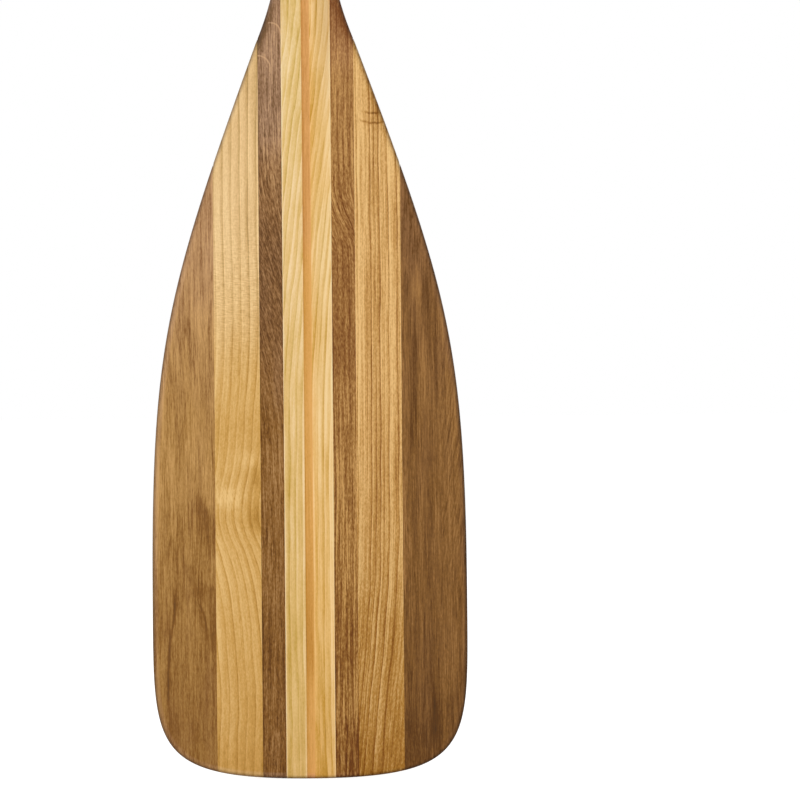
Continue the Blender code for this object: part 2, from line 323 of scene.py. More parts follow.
def distance_inside(x, z, outline):
    """How far each point lies inside the outline, measured square to its nearest segment."""
    start, stop = outline[:-1], outline[1:]
    edge = stop - start
    length = np.maximum((edge**2).sum(1), TINY**2)
    found = []
    for rows in np.array_split(np.arange(len(x)), max(1, x.size // POINTS_AT_ONCE)):
        offset_x = np.abs(x[rows])[..., None] - start[:, 0]
        offset_z = z[rows][..., None] - start[:, 1]
        t = np.clip((offset_x * edge[:, 0] + offset_z * edge[:, 1]) / length, 0.0, 1.0)
        gap = np.hypot(offset_x - t * edge[:, 0], offset_z - t * edge[:, 1])
        found.append(gap.min(-1))
    return np.concatenate(found)


def row_labels(sizes, low, high):
    """Heights of the rows of every board, close together where the form bends."""
    top = sizes.overall_length
    tip_turn = np.linspace(0.0, math.pi / 2, TIP_ROWS)
    tip = low + sizes.blade_edge / 2 * (1 - np.cos(tip_turn))
    end_turn = np.linspace(0.0, math.pi / 2, END_ROWS)
    end = high - GRIP_ROLL * (1 - np.cos(end_turn))[::-1]
    marks = [
        (tip[-1], CORNER_STEP),
        (WIDEST_HEIGHT, SIDE_STEP),
        (FLANK_HEIGHT - THROAT_ROWS_DOWN, THROAT_STEP),
        (sizes.throat_height + THROAT_ROWS_UP, SHAFT_STEP),
        (top - NECK_FROM_END, NECK_STEP),
        (top - FLARE_FROM_END, GRIP_STEP),
        (end[0], None),
    ]
    rows = [tip[:-1]]
    for (start, step), (stop, _) in zip(marks[:-1], marks[1:]):
        rows.append(np.linspace(start, stop, max(2, round((stop - start) / step)), endpoint=False))
    rows.append(end)
    return np.concatenate(rows)


def board_grid(sizes, inner, outer, columns, joint_low=None, joint_high=None):
    """One board's face as arrays x, z, half depth and distance from the outline.

    u runs from the board's inner glue line to its outer one, or to the outline where that
    comes first. v runs along the paddle. Rows bow with the crowned tip and the crowned grip
    end. Columns crowd into the rolled edge, and spread by angle round the oval shaft.

    A board ends at the heights joint_low and joint_high, or at the paddle's own ends. "flare"
    and "flank" stand for the places where the outline crosses the board's inner glue line:
    under the grip, and where the blade narrows to the shaft.
    """
    outline = half_outline(sizes)
    slope = np.gradient(outline[:, 1]) - np.abs(np.gradient(outline[:, 0]))
    low = outline[(outline[:, 1] < WIDEST_HEIGHT) & (slope > 0)][0]
    grip_start = sizes.overall_length - GRIP_WIDEST_FROM_END
    high = outline[(outline[:, 1] > grip_start) & (slope > 0)][-1]
    side = outline[(outline[:, 1] >= low[1]) & (outline[:, 1] <= high[1])]
    tip = outline[outline[:, 1] <= low[1]]
    end = outline[outline[:, 1] >= high[1]][::-1]

    first = low[1] if joint_low is None else joint_low
    last = high[1] if joint_high is None else joint_high
    if joint_low == "flare":
        flare = side[side[:, 1] > sizes.overall_length - NECK_FROM_END]
        flare = flare[: flare[:, 0].argmax()]
        first = np.interp(inner, flare[:, 0], flare[:, 1])
    if joint_high == "flank":
        flank = side[(side[:, 1] > WIDEST_HEIGHT) & (side[:, 1] < sizes.throat_height)][::-1]
        last = np.interp(inner, flank[:, 0], flank[:, 1])
    labels = row_labels(sizes, low[1], high[1])
    labels = labels[(labels > first + ROW_MARGIN) & (labels < last - ROW_MARGIN)]
    labels = np.concatenate([[first], labels, [last]])

    width = np.interp(labels, side[:, 1], side[:, 0])[:, None]
    edge = np.minimum(outer, width)
    is_grip = ease(labels, sizes.throat_height, sizes.overall_length - NECK_FROM_END)[:, None]
    rim = sizes.blade_edge / 2 + (GRIP_ROLL - sizes.blade_edge / 2) * is_grip
    rim = np.minimum(rim, (edge - inner) / 2)
    rim_columns = columns // RIM_SHARE
    even = np.linspace(0.0, 1.0, columns - rim_columns, endpoint=False)
    rounded = 1 - np.sin(np.linspace(0.0, math.pi / 2, rim_columns + 1))
    flat = np.hstack([inner + (edge - rim - inner) * even, edge - rim * rounded])
    turn = [np.arcsin(np.clip(bound / width, -1.0, 1.0)) for bound in (inner, edge)]
    u = np.linspace(0.0, 1.0, columns + 1)
    around = width * np.sin(turn[0] + (turn[1] - turn[0]) * u)
    is_round = ease(labels, FLANK_HEIGHT, sizes.throat_height) * (
        1 - ease(labels, sizes.overall_length - FLARE_FROM_END, high[1])
    )
    x = flat + is_round[:, None] * (around - flat)

    share = np.abs(x) / width
    keeps_tip = 1 - ease(labels, low[1], WIDEST_HEIGHT)[:, None]
    keeps_end = ease(labels, sizes.overall_length - SHOULDER_FROM_END, high[1])[:, None]
    tip_bow = low[1] - np.interp(share * low[0], tip[:, 0], tip[:, 1])
    end_bow = np.interp(share * high[0], end[:, 0], end[:, 1]) - high[1]
    z = labels[:, None] - keeps_tip * tip_bow + keeps_end * end_bow

    distance = distance_inside(x, z, outline)
    depth = half_depth(sizes, x, z, np.interp(z, side[:, 1], side[:, 0]), distance)
    on_outline = np.zeros(x.shape, bool)
    on_outline[:, -1] = edge[:, 0] >= width[:, 0]
    on_outline[0] |= joint_low in (None, "flare")
    on_outline[-1] |= joint_high in (None, "flank")
    depth[on_outline] = 0.0
    distance[on_outline] = 0.0
    return x, z, depth, distance


def skin_mesh(name, x, z, depth, distance):
    """A closed board from its face grid: front at minus depth, back at plus depth, and walls.

    Border points with no depth are welded, so the two skins meet along the outline. The
    distance from the outline is kept in the attribute "rim", in millimetres.
    """
    rows, columns = x.shape
    front = np.arange(rows * columns).reshape(rows, columns)
    back = front + rows * columns
    points = np.concatenate([
        np.stack([x, -depth, z], -1).reshape(-1, 3),
        np.stack([x, depth, z], -1).reshape(-1, 3),
    ])

    def quads(a, b, c, d):
        return np.stack([a, b, c, d], -1).reshape(-1, 4)

    faces = np.concatenate([
        quads(front[:-1, :-1], front[:-1, 1:], front[1:, 1:], front[1:, :-1]),
        quads(back[:-1, :-1], back[1:, :-1], back[1:, 1:], back[:-1, 1:]),
        quads(front[:-1, 0], front[1:, 0], back[1:, 0], back[:-1, 0]),
        quads(front[:-1, -1], back[:-1, -1], back[1:, -1], front[1:, -1]),
        quads(front[0, :-1], back[0, :-1], back[0, 1:], front[0, 1:]),
        quads(front[-1, :-1], front[-1, 1:], back[-1, 1:], back[-1, :-1]),
    ])
    mesh = bpy.data.meshes.new(name)
    mesh.from_pydata(points.tolist(), [], faces.tolist())
    rim = mesh.attributes.new("rim", "FLOAT", "POINT")
    rim.data.foreach_set("value", np.tile(distance.ravel() * MILLIMETRES, 2).astype(np.float32))

    welded = bmesh.new()
    welded.from_mesh(mesh)
    bmesh.ops.remove_doubles(welded, verts=welded.verts, dist=WELD_DISTANCE)
    welded.to_mesh(mesh)
    welded.free()
    mesh.validate()
    mesh.shade_smooth()
    mesh.set_sharp_from_angle(angle=SHARP_ANGLE)
    return mesh


def make_board(name, grid, left=False):
    """Adds one board, mirrored to the left where asked, in place of its CAD node."""
    x, z, depth, distance = grid
    if left:
        x, z, depth, distance = -x[:, ::-1], z[:, ::-1], depth[:, ::-1], distance[:, ::-1]
    mesh = skin_mesh(name + "_board", x, z, depth, distance)
    mesh.materials.append(board_wood(name))
    board = bpy.data.objects.new(name + "_board", mesh)
    bpy.context.scene.collection.objects.link(board)
    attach(board, "root")
    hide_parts(name)


def make_pair(name, grid):
    """Adds the left and the right board of one kind."""
    make_board(name + "_left", grid, left=True)
    make_board(name + "_right", grid)


def glue_lines(sizes):
    """Distances of the glue lines from the centre line, from the core outwards."""
    core = sizes.core_width / 2
    ply = core + sizes.ply_width
    inner = ply + sizes.inner_width
    return core, ply, inner, inner + sizes.mid_width


# Shader maths


def arithmetic(operation, reflected=False):
    """An operator of Signal: a Math node of itself and another value, in either order."""

    def apply(self, other):
        values = (other, self) if reflected else (self, other)
        return self.math(operation, *values)

    return apply


class Signal:
    """One number socket of a node tree, so that shader maths reads as arithmetic."""

    __add__ = arithmetic("ADD")
    __radd__ = arithmetic("ADD", reflected=True)
    __sub__ = arithmetic("SUBTRACT")
    __rsub__ = arithmetic("SUBTRACT", reflected=True)
    __mul__ = arithmetic("MULTIPLY")
    __rmul__ = arithmetic("MULTIPLY", reflected=True)
    __truediv__ = arithmetic("DIVIDE")
    __rtruediv__ = arithmetic("DIVIDE", reflected=True)
    __pow__ = arithmetic("POWER")
    __rpow__ = arithmetic("POWER", reflected=True)

    def __init__(self, nodes, socket):
        self.nodes = nodes
        self.socket = socket

    def math(self, operation, *values):
        return self.nodes.number(
            "ShaderNodeMath", {"operation": operation}, dict(enumerate(values))
        )

    def __neg__(self):
        return self.math("MULTIPLY", self, -1.0)

    def __abs__(self):
        return self.math("ABSOLUTE", self)

    def part(self):
        """The part after the decimal point."""
        return self.math("FRACT", self)

    def whole(self):
        """The part before the decimal point."""
        return self.math("FLOOR", self)

    def step(self, start, stop, low=0.0, high=1.0):
        """A smooth step from low at start to high at stop."""
        return self.nodes.number(
            "ShaderNodeMapRange",
            {"interpolation_type": "SMOOTHSTEP"},
            {"Value": self, "From Min": start, "From Max": stop, "To Min": low, "To Max": high},
        )

    def hump(self, centre, reach):
        """A soft hump of height 1 at centre that is gone at reach to either side."""
        return abs(self - centre).step(0.0, reach, 1.0, 0.0)


class Nodes:
    """A node tree being put together."""

    def __init__(self, owner):
        owner.use_nodes = True
        self.tree = owner.node_tree
        self.tree.nodes.clear()

    def node(self, kind, settings=(), inputs=()):
        """Adds a node: its settings first, then the values or links of its sockets."""
        made = self.tree.nodes.new(kind)
        for key, value in dict(settings).items():
            if key == "stops":
                ramp = made.color_ramp.elements
                while len(ramp) < len(value):
                    ramp.new(1.0)
                for element, (place, colour) in zip(ramp, value):
                    element.position = place
                    element.color = colour
            elif key == "points":
                curve = made.mapping.curves[0]
                while len(curve.points) < len(value):
                    curve.points.new(1.0, 1.0)
                for point, place in zip(curve.points, value):
                    point.location = place
                made.mapping.update()
            else:
                setattr(made, key, value)
        for key, value in dict(inputs).items():
            if isinstance(value, Signal):
                value = value.socket
            if isinstance(value, bpy.types.NodeSocket):
                self.tree.links.new(value, made.inputs[key])
            else:
                made.inputs[key].default_value = value
        return made

    def number(self, kind, settings=(), inputs=(), output=0):
        """Adds a node and gives its number output as a Signal."""
        return Signal(self, self.node(kind, settings, inputs).outputs[output])

    def position(self):
        """Object coordinates in millimetres, as three Signals."""
        place = self.node("ShaderNodeTexCoord").outputs["Object"]
        split = self.node("ShaderNodeSeparateXYZ", inputs={0: place})
        return [Signal(self, split.outputs[i]) * MILLIMETRES for i in range(3)]

    def noise(self, x, y, z, detail=2.0, roughness=0.5):
        """Soft noise about zero, mostly within -1 to 1. One unit is one blob."""
        place = self.node("ShaderNodeCombineXYZ", inputs={0: x, 1: y, 2: z}).outputs[0]
        found = self.number(
            "ShaderNodeTexNoise",
            inputs={"Vector": place, "Scale": 1.0, "Detail": detail, "Roughness": roughness},
        )
        return (found - 0.5) * 3.0

    def level(self, value, along):
        """A plain number, or a curve of values along a place where points are given."""
        return self.curve(value, along) if isinstance(along, tuple) else along

    def chance(self, value):
        """A random number from 0 to 1 that jumps with every new value."""
        return self.number("ShaderNodeTexWhiteNoise", {"noise_dimensions": "1D"}, {"W": value})

    def curve(self, value, points):
        """A smooth curve through points (value, result), level beyond its ends."""
        places, results = zip(*points)
        low, high = min(results), max(results)
        reach = max(high - low, TINY)
        run = places[-1] - places[0]
        share = self.number(
            "ShaderNodeMapRange",
            inputs={"Value": value, "From Min": places[0], "From Max": places[-1]},
        )
        inside = [((p - places[0]) / run, (r - low) / reach) for p, r in points]
        found = self.number("ShaderNodeFloatCurve", {"points": inside}, {"Value": share})
        return found * reach + low

    def spot(self, x, z, centre, reach, lean=0.0):
        """A soft oval spot of height 1 at centre (x, z), with its reach in x and z.

        It moves sideways by lean for every millimetre up.
        """
        up = z - centre[1]
        aside = x - centre[0]
        if lean:
            aside = aside - up * lean
        return math.e ** -((aside / reach[0]) ** 2 + (up / reach[1]) ** 2)

    def ramp(self, value, stops):
        """A colour from (place, colour) stops."""
        made = [(place, (*colour, 1.0)) for place, colour in stops]
        return self.node("ShaderNodeValToRGB", {"stops": made}, {0: value}).outputs[0]

    def mix(self, factor, first, second):
        """Mixes two colours."""
        inputs = {0: factor, 6: first, 7: second}
        return self.node("ShaderNodeMix", {"data_type": "RGBA"}, inputs).outputs[2]

    def colour_math(self, operation, first, second):
        """Arithmetic on each channel of two colours."""
        inputs = {0: first, 1: second}
        return self.node("ShaderNodeVectorMath", {"operation": operation}, inputs).outputs[0]


def linear(colour):
    """Scene-linear values of a display colour given as 0 to 255."""
    return [((c / 255 + 0.055) / 1.055) ** 2.4 if c > 10 else c / 3294.6 for c in colour]


# Varnish: relief in metres, gloss, and how the coat grows from the edge inwards in millimetres
RELIEF = 0.00006
RELIEF_STRENGTH = 0.3
SPECULAR = 0.08
ROUGHNESS = 0.36
COAT_ROUGHNESS = 0.25
COAT_REACH = (0.5, 7.0)
COAT = (0.02, 0.12)

# Colour: how strongly the shade picks it, and how the painted edge shade darkens towards the
# outline in millimetres
CONTRAST = 0.4
EDGE_SHADE_REACH = (-0.4, 2.9)
EDGE_SHADE_TINT = (0.34, 0.34, 0.4)


def varnished(nodes, colour, roughness, coat, height):
    """Ends a wood finish: satin varnish over the colour, with a little relief from the grain."""
    relief = {"Height": height, "Strength": RELIEF_STRENGTH, "Distance": RELIEF}
    bump = nodes.node("ShaderNodeBump", inputs=relief)
    shader = nodes.node(
        "ShaderNodeBsdfPrincipled",
        inputs={
            "Base Color": colour,
            "Roughness": roughness,
            "Normal": bump.outputs[0],
            "Specular IOR Level": SPECULAR,
            "Coat Weight": coat,
            "Coat Roughness": COAT_ROUGHNESS,
        },
    )
    nodes.node("ShaderNodeOutputMaterial", inputs={0: shader.outputs[0]})


def sawn_wood(
    nodes,
    tones,
    drift=((0, 0), (1372, 0)),
    fan=0.0,
    middle=0.0,
    wander=0.5,
    spacing=3.0,
    phase=0.0,
    turn=0.3,
    jitter=0.25,
    sharpness=5.0,
    line=0.3,
    slope=0.0,
    band=0.0,
    streaks=((2.0, 45.0, 0.25), (1.6, 7.0, 0.3)),
    fleck=(0.8, 1.8, 0.25),
    tick=(0.9, 3.0, 0.15),
    blotch=(14.0, 70.0, 0.15),
    ripple=(4.0, 0.8, 0.0, 300.0, 45.0),
    tone_along=((0, 0), (1372, 0)),
    tone_across=((-110, 0), (110, 0)),
    tint_along=((0, 0), (1372, 0)),
    tint_across=((-110, 0), (110, 0)),
    hue=0.12,
    dusk=0.0,
    edge_light=(4.5, 0.5, 0.0),
    edge_shade=((0, 1), (540, 1), (620, 0), (1372, 0)),
    spots=(),
    figure=None,
):
    """The finish of one board: growth lines, streaks, pores and ripples over its own tones.

    Grain lines run along the paddle and are pushed sideways by the drift curve, more on one
    side of the board than on the other by fan. Growth layers are planes turned by turn from
    the face's cross direction, so they cut across round parts as real layers do. All layers
    add up to one shade, which picks the colour between the deep, the body and the pale tone.
    Spots are soft ragged patches, each as (tone, middle, reach), and a lean where it has one.
    The tint varies softly by hue and is stronger in dark grain by dusk. The rolled edge gets
    painted light: a tint for the light it catches, and a tone that is painted light where it is
    positive and painted shade where it is negative. Painted shade darkens the edge towards the
    outline by a curve along the height.
    """
    x, y, z = nodes.position()
    shift = nodes.curve(z, drift)
    if fan:
        shift = shift * ((x - middle) * fan + 1.0)
    across = x - shift + nodes.noise(x / 45, y / 45, z / 110, 1.0) * wander

    layer = (across * math.cos(turn) + y * math.sin(turn)) / spacing + phase
    layer = layer + nodes.noise(x / 6, y / 6, z / 45, 1.0) * nodes.level(z, jitter)
    year = layer.whole()
    growth = layer.part() ** sharpness * (nodes.chance(year) * 0.9 + 0.3)
    shade = 0.5 - growth * nodes.level(z, line) + (nodes.chance(year + 0.5) - 0.5) * band
    if slope:
        shade = shade - (layer.part() - 0.5) * nodes.level(z, slope)

    fibre = 0.0
    for wide, long, depth in streaks:
        streak = nodes.noise(across / wide, y / wide, z / long, 3.0, 0.6)
        fibre = streak * nodes.level(z, depth) + fibre
    wide, long, depth = fleck
    flecks = nodes.noise(across / wide, y / wide, z / long, 2.0) * depth
    wide, long, depth = tick
    pores = nodes.noise(across / wide, y / wide, z / long, 1.0).step(0.2, 0.9)
    wide, long, patch = blotch
    shade = shade + fibre + flecks - pores * depth
    shade = nodes.noise(x / wide, y / wide, z / long, 1.0) * patch + shade
    wide, tall, depth, height, reach = ripple
    if depth:
        waves = nodes.noise(x / wide, y / wide, (z + x * 0.1) / tall, 1.0)
        shade = shade + waves * depth * z.hump(height, reach)
    # Besides the wood's own tone, these curves hold painted shade: most boards darken towards the
    # tip, and some where the surface turns away at the throat and edges
    shade = shade + nodes.curve(z, tone_along) + nodes.curve(x, tone_across)
    if spots:
        ragged = x + nodes.noise(x / 1.5, y / 1.5, z / 35, 2.0)
        for depth, centre, reach, *lean in spots:
            shade = nodes.spot(ragged, z, centre, reach, *lean) * depth + shade
    if figure:
        shade = shade + figure(nodes, x, y, z)
    distance = nodes.number("ShaderNodeAttribute", {"attribute_name": "rim"}, output="Fac")
    # Painted light on the rolled edge: a tint for the light it catches, and a tone that is painted
    # light where positive and painted shade where negative
    rolled = distance.step(edge_light[0] * 0.6, edge_light[0], 1.0, 0.0)
    shade = rolled * edge_light[2] + shade

    deep, body, pale, tint = (np.array(tone) for tone in tones)
    plain = [deep * 0.5, deep, body, pale, np.minimum(pale * 1.5 - body * 0.5, 0.95)]
    hued = [tone + (tint - body) * np.minimum(tone / body, 1.0) ** 0.5 for tone in plain]
    places = (0.0, 0.3, 0.5, 0.7, 1.0)
    shade = (shade - 0.5) * CONTRAST + 0.5
    tinted = nodes.curve(z, tint_along) + nodes.curve(x, tint_across)
    tinted = tinted + nodes.noise(x / 9, y / 9, z / 50, 1.0) * hue + rolled * edge_light[1]
    if dusk:
        tinted = tinted - (shade - 0.5) * dusk
    tinted = tinted.math("MAXIMUM", tinted, 0.0).math("MINIMUM", tinted, 1.0)
    plain, hued = (nodes.ramp(shade, zip(places, stops)) for stops in (plain, hued))
    colour = nodes.mix(tinted, plain, hued)
    # Painted shade: the colour darkens towards the outline, where the rounded edge turns away from
    # the light
    rim = distance.step(*EDGE_SHADE_REACH, 1.0, 0.0) * nodes.level(z, edge_shade)
    edge_shaded = nodes.colour_math("MULTIPLY", colour, EDGE_SHADE_TINT)
    colour = nodes.mix(rim, colour, edge_shaded)
    sheen = nodes.noise(x / 28, y / 28, z / 60, 2.0) * 0.04 - z.step(1150, 1300) * 0.04
    roughness = fibre * 0.08 + growth * 0.05 + rim * 0.2 + sheen + ROUGHNESS
    coat = distance.step(*COAT_REACH, *COAT)
    varnished(nodes, colour, roughness, coat, fibre - pores * 0.4)


def flame(nodes, x, y, z, tip, spread, fade):
    """A ragged pointed arch that opens downwards from its tip (x, z) and fades below."""
    jag = nodes.noise(x / 1.6, y / 1.6, z / 70.0, 2.0)
    inside = (tip[1] - z) * spread - abs(x - tip[0]) + jag * 7.0
    return inside.step(0.0, 4.0) * z.step(tip[1] - fade, tip[1] - fade * 0.4)


def vein(nodes, x, z, course, wide):
    """A thin line that follows a course of (z, x) points, gone at wide to either side."""
    return (x - nodes.curve(z, course)).hump(0.0, wide)


def arc(x, z, middle, radius, wide):
    """A thin quarter circle up and to the right of its middle (x, z)."""
    far = ((x - middle[0]) ** 2 + (z - middle[1]) ** 2) ** 0.5
    side = (x + z - middle[0] - middle[1]).step(radius * 0.5, radius)
    return far.hump(radius, wide) * side


# Courses of dark veins and of a dark band, as (height, place across)
LEFT_VEIN = (
    (40, -92.3), (62, -91.7), (75, -91.2), (90, -90.2), (104, -87.8), (117, -87.0), (124, -85.0),
)
RIGHT_VEIN = ((80, -64.8), (92, -65.8), (101, -67.2), (110, -69.5), (115, -74.4))
RIGHT_BAND = ((215, 66.2), (235, 67.4), (255, 68.2), (283, 69.4))

# Course of the painted highlight on the right ply, and how dark its painted outer shade is, by
# height
RIGHT_PAINTED_SHEEN = ((760, 9.0), (870, 8.0), (990, 5.5), (1085, 5.0))
RIGHT_PAINTED_SHADE = ((560, 0.0), (700, 0.4), (900, 0.4), (1000, 0.6), (1210, 0.5), (1290, 0.1))

# Tones across the right pale board
RIGHT_SLATS = (
    (31, 0.1), (36, 0.06), (42, -0.06), (47.5, -0.14), (51, 0.1), (54.5, -0.02), (60, 0.18),
)


def outer_left_figure(nodes, x, y, z):
    dark = flame(nodes, x, y, z, (-71.4, 189.0), 0.6, 60.0)
    light = flame(nodes, x, y, z, (-79.0, 121.0), 0.5, 90.0)
    left = vein(nodes, x, z, LEFT_VEIN, 1.3) * z.step(36.0, 56.0) * z.step(124.0, 112.0)
    right = vein(nodes, x, z, RIGHT_VEIN, 1.2) * z.step(78.0, 90.0) * z.step(116.0, 110.0)
    lean = nodes.noise((x + z * 0.16) / 0.9, y, z / 30.0) * z.hump(270.0, 45.0)
    return light * 0.2 - dark * 0.25 - left * 0.55 - right * 0.4 + lean * 0.3


def mid_left_figure(nodes, x, y, z):
    # Painted highlight: a shimmering glint where the grain turns, drawn as fixed colour
    painted_glint = nodes.spot(x, z, (-53.0, 181.5), (9.0, 7.0))
    painted_glint = nodes.spot(x, z, (-39.5, 206.0), (5.0, 4.0)) * 0.4 + painted_glint
    return painted_glint * (nodes.noise((x + z * 0.2) / 0.9, y, z / 3.5) * 0.9 + 0.7) * 0.8


def inner_left_figure(nodes, x, y, z):
    high = arc(x, z, (-22.3, 481.5), 6.3, 0.8)
    low = arc(x, z, (-31.0, 458.5), 8.2, 0.8)
    return (high + low) * y.step(0.0, -2.0) * 0.8


def outer_right_figure(nodes, x, y, z):
    slant = nodes.noise((x - z * 0.22) / 0.9, y, z / 30.0)
    slant = slant * 0.5 * x.step(80.0, 94.0) * z.step(90.0, 180.0)
    band = vein(nodes, x, z, RIGHT_BAND, 3.0) * z.step(195.0, 225.0) * z.step(295.0, 280.0)
    return slant - band * 0.45


def ply_left_figure(nodes, x, y, z):
    joint = x.step(-14.8, -15.8) * z.step(500.0, 440.0)
    # Painted shade on the shaft's left side; dull adds it to a darker strip beside the joint on
    # the blade
    side = x.step(-9.0, -13.0) * z.step(560.0, 700.0) * z.step(1260.0, 1180.0)
    lines = nodes.noise(x / 0.6, y / 0.6, z / 90.0, 2.0) * x.step(-3.0, -7.0)
    lines = lines * z.step(620.0, 700.0) * z.step(1180.0, 1000.0)
    dull = x.step(-11.8, -13.8) * z.step(440.0, 380.0) + side
    warm = x.step(-5.5, -3.5) * z.step(250.0, 200.0)
    return joint * 0.65 - dull * 0.15 + warm * 0.2 + lines * 0.45


def ply_right_figure(nodes, x, y, z):
    joint = x.step(14.8, 15.8) * z.step(500.0, 440.0)
    # Painted highlight along the right ply of the shaft, and painted shade on its outer side
    sheen = vein(nodes, x, z, RIGHT_PAINTED_SHEEN, 4.5) * z.step(600.0, 760.0) * z.step(1110.0, 980.0)
    sheen = sheen * (nodes.noise(x / 2.5, y / 2.5, z / 18.0, 2.0) * 0.6 + 0.9)
    painted_shade = x.step(6.5, 12.5) * nodes.curve(z, RIGHT_PAINTED_SHADE)
    pale = (x.step(8.0, 14.5) * 0.3 - 0.12) * z.step(560.0, 480.0)
    return joint * 0.6 + sheen * 0.9 + pale - painted_shade


def mid_right_figure(nodes, x, y, z):
    marks = 0.0
    for height, bend in ((429.0, 0.02), (422.5, 0.025)):
        bow = (x - 44.0) ** 2 * bend + nodes.noise(x / 2.5, y, z / 9.0) * 0.5
        marks = (z - bow).hump(height, 1.2) + marks
    faint = nodes.noise(x / 3.0, y, z / 3.0).step(-0.5, 0.4, 0.3, 1.0)
    broad = nodes.curve(x, RIGHT_SLATS) * z.step(70.0, 150.0)
    return broad - marks * x.hump(43.0, 11.0) * faint * 0.9


# Tones of each board's wood as display colours: deep, body, pale and tint
WOODS = {
    "shaft_core_lower": ((196, 135, 52), (213, 154, 73), (231, 172, 94), (216, 152, 98)),
    "shaft_core_upper": ((150, 100, 38), (197, 146, 74), (228, 179, 102), (184, 132, 57)),
    "shaft_ply_left": ((200, 159, 70), (233, 193, 122), (252, 219, 166), (220, 190, 118)),
    "shaft_ply_right": ((202, 157, 71), (232, 191, 120), (249, 215, 156), (241, 185, 102)),
    "blade_inner_left": ((98, 57, 11), (138, 93, 39), (176, 131, 79), (165, 128, 98)),
    "blade_inner_right": ((114, 63, 13), (155, 107, 47), (202, 153, 87), (167, 118, 71)),
    "blade_mid_left": ((182, 132, 55), (212, 163, 87), (237, 194, 125), (231, 192, 135)),
    "blade_mid_right": ((155, 103, 45), (203, 152, 84), (242, 196, 129), (179, 127, 52)),
    "blade_outer_left": ((129, 83, 28), (172, 127, 66), (202, 155, 93), (190, 146, 102)),
    "blade_outer_right": ((90, 52, 5), (129, 87, 38), (166, 119, 66), (139, 97, 57)),
    "grip_wing_left": ((77, 53, 14), (130, 97, 48), (175, 143, 96), (128, 92, 54)),
    "grip_wing_right": ((64, 40, 6), (112, 76, 27), (156, 117, 64), (104, 70, 46)),
}

# What like boards have in common
PLY = dict(
    sharpness=2.5, fleck=(0.8, 1.8, 0.15), tick=(0.8, 4, 0.06), blotch=(9, 40, 0.25),
    edge_light=(1, 0, 0),
)
OUTER = dict(spacing=4, turn=0.5, line=0.15, fleck=(0.8, 2.2, 0.25))
WING = dict(
    hue=0.4, sharpness=2, fleck=(0.7, 1.5, 0.2), tick=(0.7, 3, 0.2),
    edge_shade=((1200, 0.8), (1372, 1)),
)
